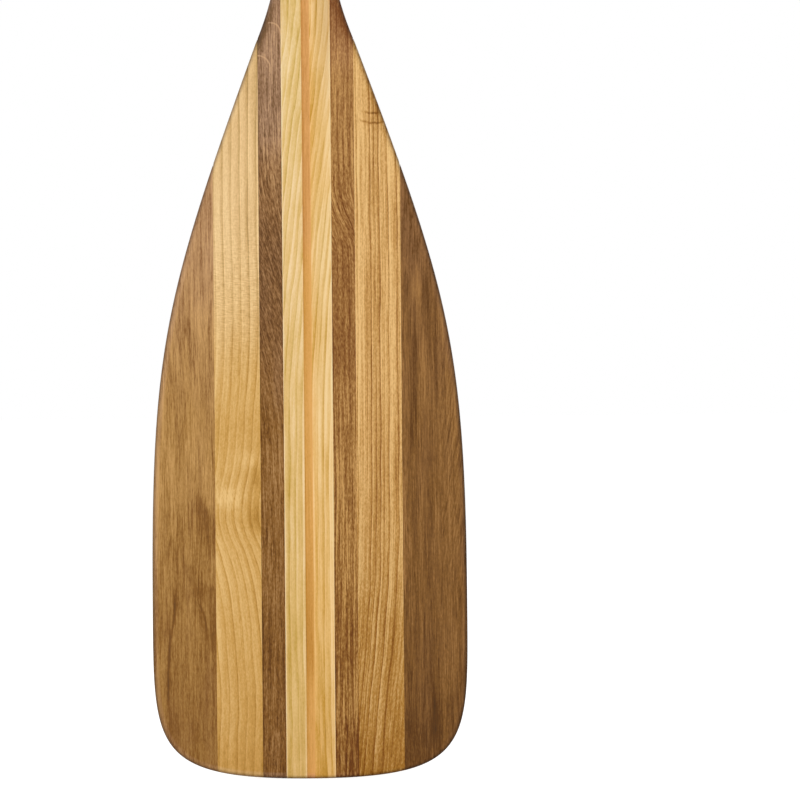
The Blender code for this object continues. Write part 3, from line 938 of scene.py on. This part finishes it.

# How each board is grown and sawn, and the painted light and shade that some carry, in
# millimetres.
# A curve is a row of (place, value) points.
GRAIN = {
    "shaft_core_lower": dict(
        spacing=1.6, line=0.15,
        streaks=((1, 60, 0.4), (0.9, 8, ((0, 0.2), (560, 0.2), (720, 0.35), (1022, 0.35)))),
        fleck=(0.8, 1.8, 0.2), tone_across=((-2.6, -0.5), (-1, 0.1), (1.2, 0.25), (2.6, 0.6)),
        tone_along=(
            (0, 0.1), (50, 0.18), (80, -0.3), (120, -0.25), (200, 0.1), (300, 0.1), (340, 0),
            (375, -0.15), (440, -0.1), (560, -0.05), (640, 0.05), (720, 0.15), (1022, 0.25),
        ),
        tint_along=(
            (0, 0.1), (80, 0), (300, 0), (340, 0.25), (375, 0.45), (480, 0.45), (560, 0.4),
            (700, 0.3), (1022, 0.3),
        ),
    ),
    "shaft_core_upper": dict(
        spacing=2.6, sharpness=1.5,
        line=((1000, 0.1), (1320, 0.1), (1332, 0.4), (1352, 0.4), (1362, 0.15), (1372, 0.1)),
        streaks=((0.8, 12, 0.25), (0.8, 4, 0.2)),
        drift=(
            (1000, 0), (1200, -12), (1310, -20), (1324, -25), (1352, -52), (1360, -56),
            (1372, -57),
        ),
        tone_along=(
            (1030, 0.3), (1080, 0.3), (1120, 0.2), (1160, 0.05), (1200, 0), (1260, 0),
            (1300, -0.15), (1372, -0.15),
        ),
        tint_along=((1100, 0), (1200, 0.3), (1300, 0.7), (1372, 0.8)),
    ),
    "shaft_ply_left": dict(
        PLY, spacing=3.9, phase=0.1, turn=0.2,
        line=(
            (0, 0.25), (60, 0.28), (200, 0.38), (300, 0.45), (400, 0.38), (540, 0.38),
            (660, 0.4), (1180, 0.4), (1270, 0.1), (1372, 0.05),
        ),
        slope=((0, 0.25), (540, 0.25), (660, 0.2), (1200, 0.2), (1290, 0.05), (1372, 0)),
        streaks=(
            (2.2, 90, ((0, 0.3), (300, 0.4), (700, 0.35), (1200, 0.3), (1372, 0.2))),
            (1, 7, 0.12),
        ),
        drift=(
            (0, 0), (230, 0), (280, 2.5), (340, 9), (400, 16), (460, 24), (520, 29), (600, 29),
            (700, 24), (1000, 26), (1120, 32), (1210, 43), (1372, 52),
        ),
        edge_shade=((0, 1), (60, 1), (120, 0), (600, 0), (680, 0.3), (1372, 0.3)),
        tone_along=(
            (0, 0), (60, -0.05), (120, -0.2), (147, -0.03), (170, -0.05), (210, 0.03), (250, 0.05),
            (276, 0.17), (300, 0.2), (340, 0.3), (400, 0.27), (460, 0.2), (900, 0.25),
            (1100, 0.2), (1200, 0.05), (1290, -0.4), (1372, -0.5),
        ),
        tint_along=(
            (0, 0.1), (120, 0), (320, 0), (400, 0.1), (450, 0.35), (560, 0.4), (760, 0.8),
            (1150, 1), (1230, 0.6), (1290, 0.1), (1372, 0),
        ),
        figure=ply_left_figure,
    ),
    "shaft_ply_right": dict(
        PLY, spacing=3.6, turn=-0.2,
        jitter=((480, 0.25), (530, 0.05), (630, 0.05), (700, 0.25)),
        line=(
            (0, 0.28), (60, 0.33), (200, 0.4), (300, 0.44), (380, 0.5), (540, 0.48),
            (660, 0.35), (1180, 0.35), (1270, 0.1), (1372, 0.05),
        ),
        slope=((0, 0.25), (540, 0.3), (660, 0.2), (1200, 0.2), (1290, 0.05), (1372, 0)),
        streaks=(
            (2.2, 80, ((0, 0.4), (300, 0.6), (540, 0.55), (700, 0.35), (1200, 0.3), (1372, 0.2))),
            (1, 7, ((0, 0.1), (560, 0.1), (700, 0.15), (1372, 0.15))),
        ),
        drift=(
            (0, 0), (230, 0), (280, 2), (340, 7), (400, 15), (460, 24), (520, 29), (600, 29),
            (700, 23), (1000, 19), (1120, 29), (1210, 39), (1372, 45),
        ),
        edge_shade=((0, 1), (60, 1), (120, 0), (600, 0), (680, 0.4), (1372, 0.4)),
        tone_along=(
            (0, -0.3), (25, -0.2), (50, 0), (120, 0.13), (147, 0.16), (180, 0.3), (230, 0.22),
            (260, 0.36), (330, 0.33), (370, 0.33), (410, 0.12), (430, 0.12), (470, 0.24),
            (900, 0.3), (1100, 0.12), (1200, -0.05), (1290, -0.35), (1372, -0.45),
        ),
        tint_along=(
            (0, 0.35), (100, 0.4), (220, 0.3), (280, 0.12), (340, 0.12), (400, 0.35), (500, 0.35),
            (570, 0), (700, -1), (1372, -1),
        ),
        tint_across=((2.6, 0.45), (4.5, 0.25), (8, 0), (15.8, 0)),
        figure=ply_right_figure,
    ),
    "blade_inner_left": dict(
        spacing=3.4, line=0.2,
        streaks=(
            (1.2, 60, ((0, 0.5), (330, 0.5), (370, 0.9), (410, 1.1), (440, 0.9), (560, 0.8))),
            (0.9, 4.5, (
                (0, 0.2), (180, 0.2), (245, 0.4), (300, 0.75), (370, 0.9), (410, 0.7),
                (440, 0.4), (560, 0.4),
            )),
            (0.7, 14, ((0, 0.6), (220, 0.55), (260, 0.3), (300, 0.1), (560, 0.1))),
        ),
        fleck=(0.8, 2, 0.35), tick=(0.8, 3, 0.35), blotch=(10, 45, 0.1),
        drift=(
            (0, 0), (215, 0), (250, -4), (290, -13), (340, -27), (372, -35), (395, -38),
            (560, -39),
        ),
        tone_across=((-30.9, -0.5), (-29.6, 0), (-17, 0), (-15.8, -0.3)),
        tone_along=(
            (0, -0.15), (60, -0.05), (85, -0.2), (130, 0.05), (168, 0.02), (196, 0.18), (225, 0),
            (250, -0.03), (276, -0.13), (300, -0.3), (350, -0.25), (385, 0.05), (405, 0.04),
            (430, -0.1), (460, 0.06), (490, 0.1), (560, 0),
        ),
        tint_along=(
            (0, 0), (220, 0), (260, 0.2), (345, 0.3), (380, 0.3), (405, 0.55), (431, 0.9),
            (560, 1),
        ),
        # Painted shade where the spine turns into the blade at the throat's edge
        spots=((-0.9, (-27, 482), (3.2, 20), 0.4),),
        figure=inner_left_figure,
    ),
    "blade_inner_right": dict(
        spacing=3.5, line=0.5, band=0.25,
        streaks=(
            (1.2, 45, (
                (0, 0.9), (180, 0.9), (230, 0.75), (270, 0.35), (340, 0.35), (380, 0.5),
                (420, 0.65), (470, 0.4), (560, 0.4),
            )),
            (0.9, 4, (
                (0, 0.45), (180, 0.45), (230, 0.4), (270, 0.5), (340, 0.55), (372, 0.6),
                (400, 0.4), (470, 0.25), (560, 0.25),
            )),
        ),
        fleck=(0.8, 1.8, 0.3), tick=(0.8, 4, 0.3),
        drift=((0, 0), (335, 0), (350, -3), (372, -11), (385, -13), (560, -13)),
        tone_along=(
            (0, -0.3), (24, -0.3), (50, 0.1), (85, -0.1), (150, 0.15), (200, 0.1), (250, 0.05),
            (276, -0.15), (300, -0.1), (330, -0.1), (370, 0.07), (405, 0.1), (430, 0.08),
            (460, 0.05), (480, -0.05), (500, -0.15), (560, -0.4),
        ),
        tint_along=((0, 0), (150, 0.1), (270, 0.35), (445, 0.45), (475, 1), (560, 1)),
        spots=(
            # The first spot is painted shade where the spine turns into the blade at the throat's
            # edge
            (-0.5, (27.5, 482), (3.2, 20), -0.4),
            (0.24, (18.5, 440), (3.5, 45)),
        ),
    ),
    "blade_mid_left": dict(
        spacing=5.3, phase=0.3, turn=0.2, jitter=0.1,
        line=(
            (0, 0.36), (100, 0.45), (160, 0.5), (190, 0.35), (230, 0.25), (260, 0.42),
            (300, 0.65), (330, 0.75), (560, 0.6),
        ),
        slope=0.2, fan=0.004, middle=-47,
        drift=(
            (0, 7), (25, 7.7), (51, 8.3), (76, 7.1), (96, 6), (109, 4.8), (122, 3.3),
            (131, 1.7), (141, -0.8), (151, -3.9), (157, -6.5), (164, -8.4), (170, -9.3),
            (176, -9.2), (183, -8.6), (193, -6.6), (205, -4.2), (218, -2.8), (238, -1.7),
            (257, 0), (300, 1.5), (380, 1), (560, 6),
        ),
        streaks=((1.6, 80, 0.25), (1, 5, 0.2)),
        fleck=(0.8, 1.6, 0.22), tick=(0.8, 3, 0.1), ripple=(4, 0.75, 0.4, 315, 80),
        tone_along=(
            (0, -0.2), (60, 0.12), (140, 0.2), (175, 0.05), (200, 0.15), (225, 0.08), (245, 0.2),
            (290, 0.2), (390, 0.1), (430, 0), (560, 0),
        ),
        tint_along=((0, 0), (235, 0), (262, 0.15), (310, 0.7), (380, 1), (560, 1)),
        spots=(
            (-0.4, (-34.5, 168), (5, 9)),
            (-0.4, (-33.5, 194), (4, 7)),
            (-0.2, (-37, 38), (7, 32)),
            (0.3, (-59.5, 90), (3.5, 38)),
            (0.2, (-60, 195), (2, 25)),
            (0.22, (-53.5, 375), (3.5, 28)),
            (0.22, (-37, 410), (2.5, 32)),
        ),
        figure=mid_left_figure,
    ),
    "blade_mid_right": dict(
        spacing=2.85, turn=0.1, sharpness=1.6, band=0.2, wander=0.4,
        line=((0, 0.4), (60, 0.5), (130, 0.65), (560, 0.65)),
        streaks=(
            (0.9, 120, ((0, 0.25), (60, 0.35), (160, 0.5), (560, 0.5))),
            (0.9, 12, 0.2),
        ),
        fleck=(0.8, 1.8, 0.3), tick=(0.8, 6, 0.1),
        drift=((0, -12), (50, -8), (100, -3), (160, 0), (560, 0)),
        tone_along=(
            (0, -0.05), (30, 0.05), (60, 0.2), (120, 0.28), (150, 0.33), (185, 0.23), (260, 0.36),
            (330, 0.42), (380, 0.35), (405, 0.5), (430, 0.3), (560, 0.3),
        ),
        tint_along=((0, 1), (60, 0.9), (120, 0.7), (200, 0.2), (260, 0), (560, 0)),
        figure=mid_right_figure,
    ),
    "blade_outer_left": dict(
        OUTER, wander=1.2, hue=0.15, dusk=0.6,
        streaks=(
            (1.6, 60, ((0, 0.25), (60, 0.3), (120, 0.4), (150, 0.5), (400, 0.45))),
            (0.7, 15, ((0, 0.3), (100, 0.4), (160, 0.6), (260, 0.6), (330, 0.5))),
        ),
        tick=(0.7, 8, 0.35),
        tone_across=((-97, 0.15), (-93, 0.1), (-90, 0), (-62, 0)),
        tone_along=(
            (0, -0.15), (50, -0.25), (80, -0.4), (120, -0.15), (170, 0.08), (200, 0.2),
            (235, 0.12), (300, 0.08), (330, 0.08), (360, -0.02),
        ),
        tint_along=((0, 0), (200, 0), (260, 0.2), (320, 0.7), (345, 0.9), (400, 1)),
        spots=(
            (-0.35, (-67.3, 168), (3.8, 20), -0.25),
            (-0.3, (-78.2, 134), (6, 9)),
            (-0.3, (-70.5, 121.6), (9, 5)),
            (-0.3, (-87, 115), (2.5, 8)),
            (-0.35, (-63.5, 263), (3.5, 17)),
            (0.3, (-70.6, 298), (6, 10)),
            (-0.3, (-78.4, 292), (3, 8)),
            (-0.24, (-63.5, 232), (2, 40)),
            (-0.15, (-63.5, 335), (2, 35)),
            (0.17, (-64, 92), (2.5, 22)),
            (0.18, (-78, 218), (3.5, 22)),
            (0.25, (-90.8, 125), (1.6, 28)),
            (-0.2, (-95.5, 200), (2, 45)),
            (-0.12, (-90, 30), (8, 20)),
        ),
        figure=outer_left_figure,
    ),
    "blade_outer_right": dict(
        OUTER, wander=1, hue=0.3, dusk=2.5,
        streaks=((1.8, 120, 0.35), (0.7, 20, 0.55)), tick=(0.7, 9, 0.45),
        # Bands of the grain across the board; the last point is painted shade at the right edge
        tone_across=(
            (60, 0.05), (66, -0.05), (72, 0.05), (80, -0.05), (91, 0.1), (97, 0), (101, -0.15),
        ),
        tone_along=(
            (0, -0.3), (30, -0.2), (60, -0.07), (110, 0), (170, 0.1), (230, 0.08), (270, 0.08),
            (300, 0), (340, -0.05), (400, 0),
        ),
        tint_along=((0, 0), (220, 0.15), (300, 0.4), (335, 0.7), (400, 1)),
        spots=(
            (0.5, (70.6, 318), (3.6, 13)),
            (-0.35, (75.5, 317), (1.8, 18), -0.15),
            (-0.25, (70.5, 341), (2.5, 8)),
            (0.2, (74, 272), (2.6, 36), -0.06),
            (-0.25, (81.6, 277), (3, 24)),
            (-0.3, (64.5, 315), (1.6, 8)),
            (0.3, (62.9, 196), (1.5, 35)),
            (-0.5, (90.3, 220), (0.8, 12), 0.05),
            (-0.4, (100, 150), (1, 20)),
            (-0.12, (88.5, 62), (3, 40)),
            (0.12, (95, 190), (4, 35)),
            (-0.9, (79.8, 46.7), (1.1, 9)),
            (-0.5, (80.2, 31), (4, 9)),
            (-0.14, (78.5, 60), (2, 32)),
            (0.16, (64, 275), (2.5, 75)),
            (-0.28, (67, 168), (2.5, 24)),
            (-0.14, (71, 290), (4, 55)),
            (-0.24, (82, 255), (1.8, 18)),
            (0.2, (84.5, 303), (3, 18)),
        ),
        figure=outer_right_figure,
    ),
    "grip_wing_left": dict(
        WING, spacing=3.4, turn=0.5, fan=-0.035, middle=-20, line=0.15, band=0.04,
        drift=((1200, 0), (1285, 0), (1320, -7), (1345, -12), (1372, -13)),
        # The rolled edge gets a tint for the light it catches, and is lightened as painted light
        streaks=((1.2, 30, 0.35), (0.8, 6, 0.2)), edge_light=(6, 0.7, 0.1),
        # The first spot is a painted highlight on the domed lobe, the second painted shade near
        # the end
        spots=(
            (0.35, (-42, 1345), (9, 15)),
            (-0.35, (-22, 1350), (6.5, 12)),
        ),
    ),
    "grip_wing_right": dict(
        WING, spacing=2.9, turn=-0.5, fan=0.04, middle=18, line=0.2, band=0.15, dusk=1.2,
        drift=((1200, 0), (1285, 0), (1320, 7), (1345, 12), (1372, 12)),
        # The rolled edge gets a tint for the light it catches, and is darkened as painted shade
        streaks=((1, 30, 0.45), (0.8, 6, 0.25)), edge_light=(7, 0.6, -0.1),
        tone_along=((1200, -0.1), (1372, -0.1)),
        # The spot at 25 across is a painted highlight, and the one at 1322 high is painted shade
        spots=(
            (0.5, (25, 1338), (2.6, 16), -0.1),
            (0.3, (34, 1345), (4, 12)),
            (-0.4, (20, 1322), (4, 12)),
        ),
    ),
}


def board_wood(name):
    """The material of one board, from its tones in the scene and its grain."""
    material = bpy.data.materials.new(name + "_wood")
    tones = bpy.context.scene.paddle_tones[name]
    sawn_wood(
        Nodes(material), (tones.deep, tones.body, tones.pale, tones.tint), **GRAIN[name]
    )
    return material


# Boards


class PADDLE_OT_tones(bpy.types.Operator):
    """Sets the tones of every board to its own wood"""

    bl_idname = "paddle.tones"
    bl_label = "Tones"

    def execute(self, context):
        boards = context.scene.paddle_tones
        boards.clear()
        for name, colours in WOODS.items():
            board = boards.add()
            board.name = name
            board.deep, board.body, board.pale, board.tint = map(linear, colours)
        return {"FINISHED"}


class PADDLE_OT_core(bpy.types.Operator):
    """Adds the two lengths of the thin core strip"""

    bl_idname = "paddle.core"
    bl_label = "Core"

    def execute(self, context):
        sizes = context.scene.paddle_sizes
        half = glue_lines(sizes)[0]
        joint = sizes.overall_length - sizes.core_joint
        columns = COLUMNS["core"]
        make_board("shaft_core_lower", board_grid(sizes, -half, half, columns, joint_high=joint))
        make_board("shaft_core_upper", board_grid(sizes, -half, half, columns, joint_low=joint))
        return {"FINISHED"}


class PADDLE_OT_plies(bpy.types.Operator):
    """Adds the pale strips on both sides of the core"""

    bl_idname = "paddle.plies"
    bl_label = "Plies"

    def execute(self, context):
        sizes = context.scene.paddle_sizes
        core, ply, _, _ = glue_lines(sizes)
        make_pair("shaft_ply", board_grid(sizes, core, ply, COLUMNS["ply"]))
        return {"FINISHED"}


class PADDLE_OT_blade_boards(bpy.types.Operator):
    """Adds the six boards that are glued to the stack to make the blade"""

    bl_idname = "paddle.blade_boards"
    bl_label = "Blade boards"

    def execute(self, context):
        sizes = context.scene.paddle_sizes
        _, ply, inner, mid = glue_lines(sizes)
        outermost = sizes.blade_width / 2 + PAST_OUTLINE
        boards = (("inner", ply, inner), ("mid", inner, mid), ("outer", mid, outermost))
        for kind, start, stop in boards:
            grid = board_grid(sizes, start, stop, COLUMNS[kind], joint_high="flank")
            make_pair("blade_" + kind, grid)
        return {"FINISHED"}


class PADDLE_OT_grip_wings(bpy.types.Operator):
    """Adds the two dark blocks of the palm grip"""

    bl_idname = "paddle.grip_wings"
    bl_label = "Grip wings"

    def execute(self, context):
        sizes = context.scene.paddle_sizes
        ply = glue_lines(sizes)[1]
        outermost = sizes.grip_width / 2 + PAST_OUTLINE
        grid = board_grid(sizes, ply, outermost, COLUMNS["wing"], joint_low="flare")
        make_pair("grip_wing", grid)
        return {"FINISHED"}


# Studio

WHITE = (1.0, 1.0, 1.0, 1.0)
FLOOR_REACH = 60.0
FLOOR_PAPER = (0.8, 0.8, 0.8, 1.0)
FLOOR_SEEN = (0.6, 0.6, 0.6, 1.0)
FLOOR_GLOW = 0.72
AMBIENT = 0.5
LIGHT_AIM = (0.0, 0.0, 0.6)

# The round lamps, as (name, place, width, power)
LAMPS = (
    ("key", (-2.4, -2.2, 1.9), 2.2, 52.0),
    ("fill", (2.6, -2.4, 1.2), 2.4, 26.0),
    ("back", (1.8, 2.8, 1.9), 2.6, 45.0),
)


def studio_white(nodes, plain, white):
    """White for camera, mirror and glass rays; the plain surface for all others."""
    path = nodes.node("ShaderNodeLightPath")
    seen = Signal(nodes, path.outputs["Is Camera Ray"])
    seen = seen.math("MAXIMUM", seen, path.outputs["Is Glossy Ray"])
    seen = seen.math("MAXIMUM", seen, path.outputs["Is Transmission Ray"])
    inputs = {0: seen, 1: plain.outputs[0], 2: white.outputs[0]}
    return nodes.node("ShaderNodeMixShader", inputs=inputs).outputs[0]


class PADDLE_OT_stage(bpy.types.Operator):
    """Adds the floor, the soft lights, the world and the camera"""

    bl_idname = "paddle.stage"
    bl_label = "Studio"

    def execute(self, context):
        scene = context.scene
        self.add_floor(scene)
        self.set_world(scene)
        self.add_lights(scene)
        self.add_camera(scene)
        scene.view_settings.view_transform = "Standard"
        return {"FINISHED"}

    def add_floor(self, scene):
        material = bpy.data.materials.new("studio_floor")
        nodes = Nodes(material)
        paper = nodes.node("ShaderNodeBsdfDiffuse", inputs={"Color": FLOOR_PAPER})
        pale = nodes.node("ShaderNodeBsdfDiffuse", inputs={"Color": FLOOR_SEEN})
        glow = nodes.node("ShaderNodeEmission", inputs={"Strength": FLOOR_GLOW})
        both = nodes.node("ShaderNodeAddShader", inputs={0: pale.outputs[0], 1: glow.outputs[0]})
        nodes.node("ShaderNodeOutputMaterial", inputs={0: studio_white(nodes, paper, both)})

        signs = ((-1, -1), (1, -1), (1, 1), (-1, 1))
        corners = [(x * FLOOR_REACH, y * FLOOR_REACH, 0.0) for x, y in signs]
        mesh = bpy.data.meshes.new("floor")
        mesh.from_pydata(corners, [], [(0, 1, 2, 3)])
        mesh.materials.append(material)
        floor = bpy.data.objects.new("floor", mesh)
        scene.collection.objects.link(floor)

    def set_world(self, scene):
        scene.world = bpy.data.worlds.new("studio")
        nodes = Nodes(scene.world)
        ambient = nodes.node("ShaderNodeBackground", inputs={"Color": WHITE, "Strength": AMBIENT})
        white = nodes.node("ShaderNodeBackground", inputs={"Color": WHITE})
        nodes.node("ShaderNodeOutputWorld", inputs={0: studio_white(nodes, ambient, white)})

    def add_lights(self, scene):
        for name, place, width, power in LAMPS:
            light = bpy.data.lights.new(name, "AREA")
            light.shape = "DISK"
            light.size = width
            light.energy = power
            lamp = bpy.data.objects.new(name, light)
            lamp.location = place
            aim = Vector(LIGHT_AIM) - Vector(place)
            lamp.rotation_euler = aim.to_track_quat("-Z", "Y").to_euler()
            scene.collection.objects.link(lamp)

    def add_camera(self, scene):
        camera = bpy.data.cameras.new("camera")
        camera.lens = LENS
        camera.sensor_width = SENSOR
        camera.clip_start, camera.clip_end = VIEW_RANGE
        right = Vector((math.cos(ROLL), 0.0, -math.sin(ROLL)))
        up = Vector((math.sin(ROLL), 0.0, math.cos(ROLL)))
        back = Vector((0.0, -1.0, 0.0))
        turned = Matrix((right, up, back)).transposed().to_4x4()
        place = Vector(LOOK_AT) + back * (FRAME_WIDTH * LENS / SENSOR)
        seat = bpy.data.objects.new("camera", camera)
        seat.matrix_world = Matrix.Translation(place) @ turned
        scene.collection.objects.link(seat)
        scene.camera = seat


class PADDLE_PT_panel(bpy.types.Panel):
    """The paddle's pieces and sizes"""

    bl_idname = "PADDLE_PT_panel"
    bl_label = "Laminated Paddle"
    bl_space_type = "VIEW_3D"
    bl_region_type = "UI"
    bl_category = "Paddle"

    def draw(self, context):
        for operator in OPERATORS:
            self.layout.operator(operator.bl_idname)
        for key in PaddleSizes.__annotations__:
            self.layout.prop(context.scene.paddle_sizes, key)
        for board in context.scene.paddle_tones:
            row = self.layout.row(align=True)
            row.label(text=board.name)
            for key in BoardTones.__annotations__:
                row.prop(board, key, text="")


OPERATORS = [
    PADDLE_OT_tones,
    PADDLE_OT_core,
    PADDLE_OT_plies,
    PADDLE_OT_blade_boards,
    PADDLE_OT_grip_wings,
    PADDLE_OT_stage,
]
CLASSES = [PaddleSizes, BoardTones, *OPERATORS, PADDLE_PT_panel]


def register():
    for made in CLASSES:
        bpy.utils.register_class(made)
    bpy.types.Scene.paddle_sizes = PointerProperty(type=PaddleSizes)
    bpy.types.Scene.paddle_tones = CollectionProperty(type=BoardTones)


def unregister():
    del bpy.types.Scene.paddle_sizes, bpy.types.Scene.paddle_tones
    for made in reversed(CLASSES):
        bpy.utils.unregister_class(made)


def main():
    register()
    bpy.ops.paddle.tones()
    bpy.ops.paddle.core()
    bpy.ops.paddle.plies()
    bpy.ops.paddle.blade_boards()
    bpy.ops.paddle.grip_wings()
    bpy.ops.paddle.stage()


if __name__ == "__main__":
    main()
